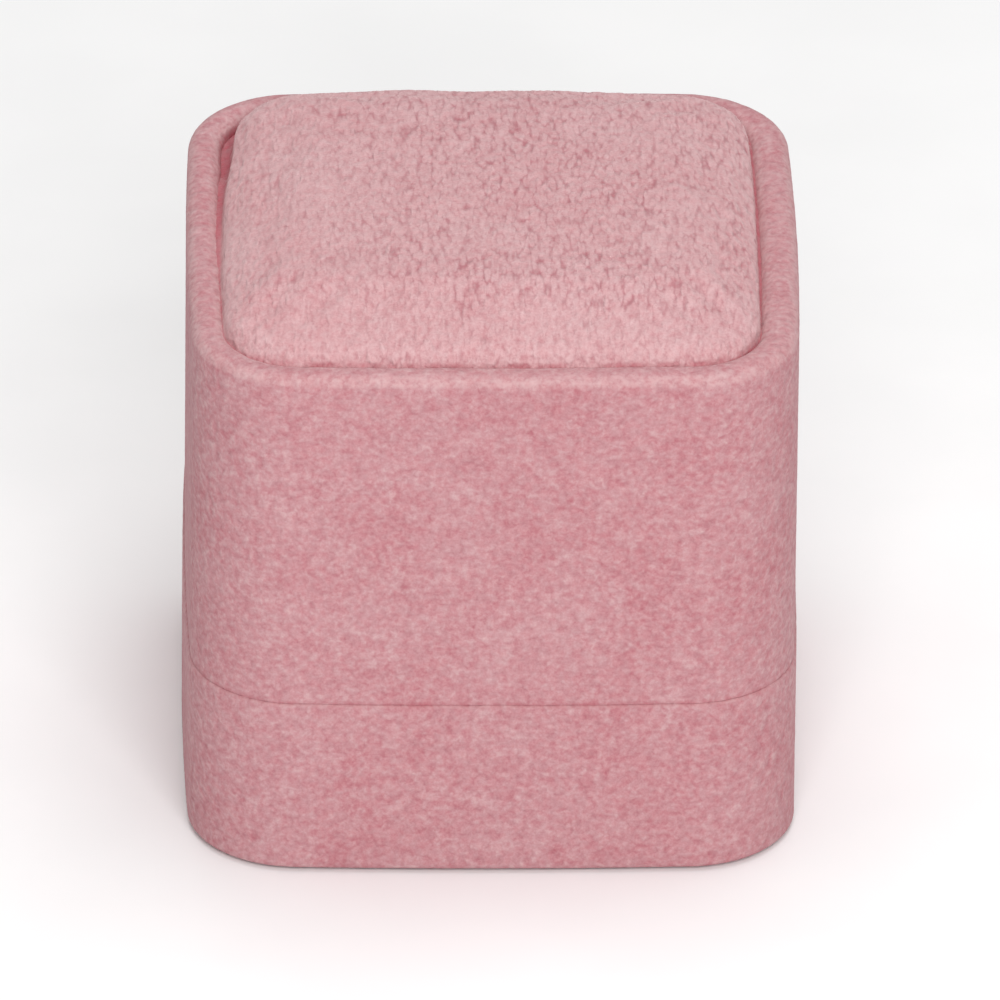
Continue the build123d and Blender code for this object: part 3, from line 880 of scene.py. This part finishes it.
def lining_cloth():
    m = Nodes("rose lining cloth")
    rib = m.new("ShaderNodeTexWave", wave_type="BANDS", bands_direction="Z", wave_profile="SIN")
    m.link(m.moved(m.coord, m.noise(m.coord, 600.0, 1.0, colour=True), 0.0002), rib.inputs["Vector"])
    rib.inputs["Scale"].default_value = 1 / (0.32 * MM) / 6.283
    rib.inputs["Distortion"].default_value = 0.4
    fine = m.noise(m.coord, 1 / (0.2 * MM), 2.0, 0.6)
    f = m.math("ADD", m.math("MULTIPLY", rib.outputs["Fac"], 0.55), m.math("MULTIPLY", fine, 0.6))
    c = m.mix(m.ramp(f, 0.25, 0.9), srgb(184, 122, 130), srgb(214, 160, 165))
    big = m.noise(m.coord, 1 / (11 * MM), 2.0)
    c = m.mix(m.ramp(big, 0.35, 0.7, 0.0, 0.25), c, srgb(220, 172, 176))
    m.link(c, m.bsdf.inputs["Base Color"])
    m.bump(f, 0.00005)
    m.bsdf.inputs["Roughness"].default_value = 0.85
    m.bsdf.inputs["Sheen Weight"].default_value = 0.35
    m.bsdf.inputs["Sheen Roughness"].default_value = 0.4
    m.bsdf.inputs["Sheen Tint"].default_value = srgb(246, 220, 222)
    return m.mat


def satin():
    m = Nodes("pale rose satin")
    thread = m.new("ShaderNodeTexWave", wave_type="BANDS", bands_direction="X", wave_profile="SIN")
    m.link(m.moved(m.coord, m.noise(m.coord, 400.0, 1.0, colour=True), 0.0001), thread.inputs["Vector"])
    thread.inputs["Scale"].default_value = 1 / (0.16 * MM) / 6.283
    fine = m.noise(m.scaled(m.coord, 1.0, 0.12, 1.0), 1 / (0.12 * MM), 2.0, 0.6)
    f = m.math("ADD", m.math("MULTIPLY", thread.outputs["Fac"], 0.5), m.math("MULTIPLY", fine, 0.5))
    big = m.noise(m.scaled(m.coord, 1.0, 0.4, 1.0), 1 / (6 * MM), 2.0)
    c = m.mix(m.ramp(f, 0.3, 0.8), srgb(214, 172, 174), srgb(232, 198, 198))
    c = m.mix(m.ramp(big, 0.35, 0.7, 0.0, 0.3), c, srgb(240, 212, 211))
    m.link(c, m.bsdf.inputs["Base Color"])
    m.bump(f, 0.000015)
    m.link(m.ramp(big, 0.3, 0.7, 0.34, 0.44), m.bsdf.inputs["Roughness"])
    m.bsdf.inputs["Anisotropic"].default_value = 0.5
    m.bsdf.inputs["Specular IOR Level"].default_value = 0.45
    m.bsdf.inputs["Sheen Weight"].default_value = 0.2
    return m.mat


def greyboard():
    m = Nodes("greyboard")
    fibre = m.noise(m.scaled(m.coord, 1.0, 0.35, 0.8), 1 / (0.5 * MM), 4.0, 0.65)
    layer = m.noise(m.scaled(m.coord, 0.2, 0.2, 3.0), 1 / (0.35 * MM), 2.0, 0.5)
    speck = m.ramp(m.noise(m.coord, 1 / (0.3 * MM), 1.0), 0.68, 0.74)
    c = m.mix(m.ramp(fibre, 0.3, 0.7), srgb(138, 131, 121), srgb(172, 165, 154))
    c = m.mix(m.ramp(layer, 0.45, 0.7, 0.0, 0.35), c, srgb(120, 114, 106))
    c = m.mix(m.math("MULTIPLY", speck, 0.6), c, srgb(96, 92, 88))
    m.link(c, m.bsdf.inputs["Base Color"])
    m.bump(m.math("ADD", fibre, m.math("MULTIPLY", layer, 0.6)), 0.00006)
    m.bsdf.inputs["Roughness"].default_value = 0.93
    return m.mat


def white_card():
    m = Nodes("white card")
    fibre = m.noise(m.scaled(m.coord, 0.6, 1.0, 1.0), 1 / (0.35 * MM), 4.0, 0.6)
    c = m.mix(m.ramp(fibre, 0.3, 0.7), srgb(222, 219, 212), srgb(238, 236, 230))
    m.link(c, m.bsdf.inputs["Base Color"])
    m.bump(fibre, 0.00002)
    m.bsdf.inputs["Roughness"].default_value = 0.7
    return m.mat


def foam():
    m = Nodes("open-cell foam")
    cell = m.new("ShaderNodeTexVoronoi", feature="DISTANCE_TO_EDGE")
    m.link(m.moved(m.coord, m.noise(m.coord, 900.0, 1.0, colour=True), 0.0003), cell.inputs["Vector"])
    cell.inputs["Scale"].default_value = 1 / (0.55 * MM)
    pore = m.ramp(cell.outputs["Distance"], 0.04, 0.3)
    fine = m.noise(m.coord, 1 / (0.2 * MM), 2.0)
    # darker in the middle of each cell: painted shade in the open pores
    c = m.mix(pore, srgb(238, 233, 220), srgb(196, 188, 170))
    c = m.mix(m.ramp(fine, 0.35, 0.7, 0.0, 0.25), c, srgb(226, 216, 194))
    m.link(c, m.bsdf.inputs["Base Color"])
    m.bump(m.math("MULTIPLY", pore, -1.0), 0.00012)
    m.bsdf.inputs["Roughness"].default_value = 0.9
    return m.mat


def underside_paper():
    m = Nodes("rose leatherette paper")
    grain = m.new("ShaderNodeTexVoronoi", feature="F1")
    m.link(m.moved(m.coord, m.noise(m.coord, 700.0, 1.0, colour=True), 0.0004), grain.inputs["Vector"])
    grain.inputs["Scale"].default_value = 1 / (0.7 * MM)
    fine = m.noise(m.coord, 1 / (0.25 * MM), 3.0, 0.6)
    f = m.math("ADD", m.math("MULTIPLY", grain.outputs["Distance"], -0.8), m.math("MULTIPLY", fine, 0.4))
    c = m.mix(m.ramp(f, -0.5, 0.2), srgb(150, 96, 104), srgb(178, 122, 128))
    wear_and_top_highlight = m.ramp(m.noise(m.coord, 1 / (7 * MM), 4.0, 0.65), 0.55, 0.75, 0.0, 0.3)
    c = m.mix(wear_and_top_highlight, c, srgb(196, 150, 153))
    m.link(c, m.bsdf.inputs["Base Color"])
    m.bump(f, 0.00006)
    m.link(m.ramp(fine, 0.3, 0.7, 0.55, 0.72), m.bsdf.inputs["Roughness"])
    return m.mat


mats = {"lining": lining_cloth(), "satin": satin(), "board": greyboard(), "card": white_card(), "foam": foam(), "under": underside_paper()}


def dress(ob, mat):
    ob.data.materials.clear()
    ob.data.materials.append(mat)


def redo(node, mat):
    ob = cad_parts[node]
    for slot in ob.material_slots:
        slot.link = "OBJECT"
        slot.material = mat


for node in ("lid_wall_board", "lid_top_board", "base_wall_board", "base_floor_board", "neck_board"):
    redo(node, mats["board"])
for node in ("lid_pad_card", "lid_ceiling_card", "cushion_card"):
    redo(node, mats["card"])
redo("base_underside_panel", mats["under"])

# ------------------------------------------------------------------ what each piece is, and what it rides on
perimeter = 219.0
for ob, mat, body_name, node, slot_name in (
    (lid_wrap, velvet_wall, "lid", "lid_outer_velvet", "velvet"),
    (base_wrap, velvet_wall, "base", "base_outer_velvet", "velvet"),
    (neck_wrap, velvet_in, "base", "neck_velvet", "velvet_inside"),
    (pad, velvet_pad, "lid", "lid_pad_velvet", "velvet_pad"),
    (cushion, velvet_in, "cushion", "cushion_velvet", "velvet_inside"),
    (lining, mats["lining"], "lid", "lid_lining_sleeve", "lining"),
    (ceiling, mats["satin"], "lid", "lid_ceiling_satin", "satin"),
):
    dress(ob, mat)
    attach(ob, body_name)
    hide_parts(node)
for ob, (node, body_name) in foams.items():
    dress(ob, mats["foam"])
    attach(ob, body_name)
    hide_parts(node)

# ------------------------------------------------------------------ floor, light, camera
floor = make("floor", [(-3000, -3000, 0), (3000, -3000, 0), (3000, 3000, 0), (-3000, 3000, 0)], [[0, 1, 2, 3]], smooth=False)
fm = Nodes("pale floor")
mott = fm.noise(fm.coord, 40.0, 3.0)
fm.link(fm.mix(fm.ramp(mott, 0.3, 0.7), srgb(250, 250, 250), srgb(253, 253, 253)), fm.bsdf.inputs["Base Color"])
fm.bsdf.inputs["Roughness"].default_value = 0.8
fm.bsdf.inputs["Specular IOR Level"].default_value = 0.1
dress(floor, fm.mat)

world = bpy.data.worlds.new("studio")
bpy.context.scene.world = world
world.use_nodes = True
world.node_tree.nodes["Background"].inputs[0].default_value = (1.0, 0.995, 0.99, 1.0)
world.node_tree.nodes["Background"].inputs[1].default_value = 0.36


def softbox(name, place, look, size, watts, tint=(1, 1, 1)):
    light = bpy.data.lights.new(name, "AREA")
    light.shape = "RECTANGLE"
    light.size, light.size_y = size
    light.energy = watts
    light.color = tint
    ob = bpy.data.objects.new(name, light)
    ob.location = place
    ob.rotation_euler = (Vector(look) - Vector(place)).to_track_quat("-Z", "Y").to_euler()
    bpy.context.scene.collection.objects.link(ob)
    return ob


softbox("key softbox", (0.06, -0.72, 0.52), (0, 0, 0.03), (0.45, 0.40), 4.6)
softbox("top softbox", (0.05, 0.10, 0.85), (0, 0, 0.05), (0.6, 0.6), 3.3)

ELEV, AZ, ROLL, DIST = math.radians(29.13), math.radians(-1.35), math.radians(0.6), 2.95
back = Vector((math.sin(AZ) * math.cos(ELEV), -math.cos(AZ) * math.cos(ELEV), math.sin(ELEV)))
right = Vector((math.cos(AZ), math.sin(AZ), 0.0))
up = back.cross(right)
cr = right * math.cos(ROLL) + up * math.sin(ROLL)
cu = up * math.cos(ROLL) - right * math.sin(ROLL)
aim = Vector((0, 0, lid_z1 * MM / 2)) + cr * 0.001035 - cu * 0.002139
cam_data = bpy.data.cameras.new("camera")
cam_data.lens = 1077.6
cam_data.sensor_width = 36.0
cam = bpy.data.objects.new("camera", cam_data)
rot = Matrix((cr, cu, back)).transposed()
cam.matrix_world = Matrix.Translation(aim + back * DIST) @ rot.to_4x4()
bpy.context.scene.collection.objects.link(cam)
bpy.context.scene.camera = cam
bpy.context.scene.view_settings.view_transform = "Standard"
bpy.context.scene.view_settings.look = "None"

for o in (lid_wrap, base_wrap, neck_wrap, pad, cushion, lining, ceiling, *foams):
    print(o.name, len(o.data.vertices), len(o.data.polygons))
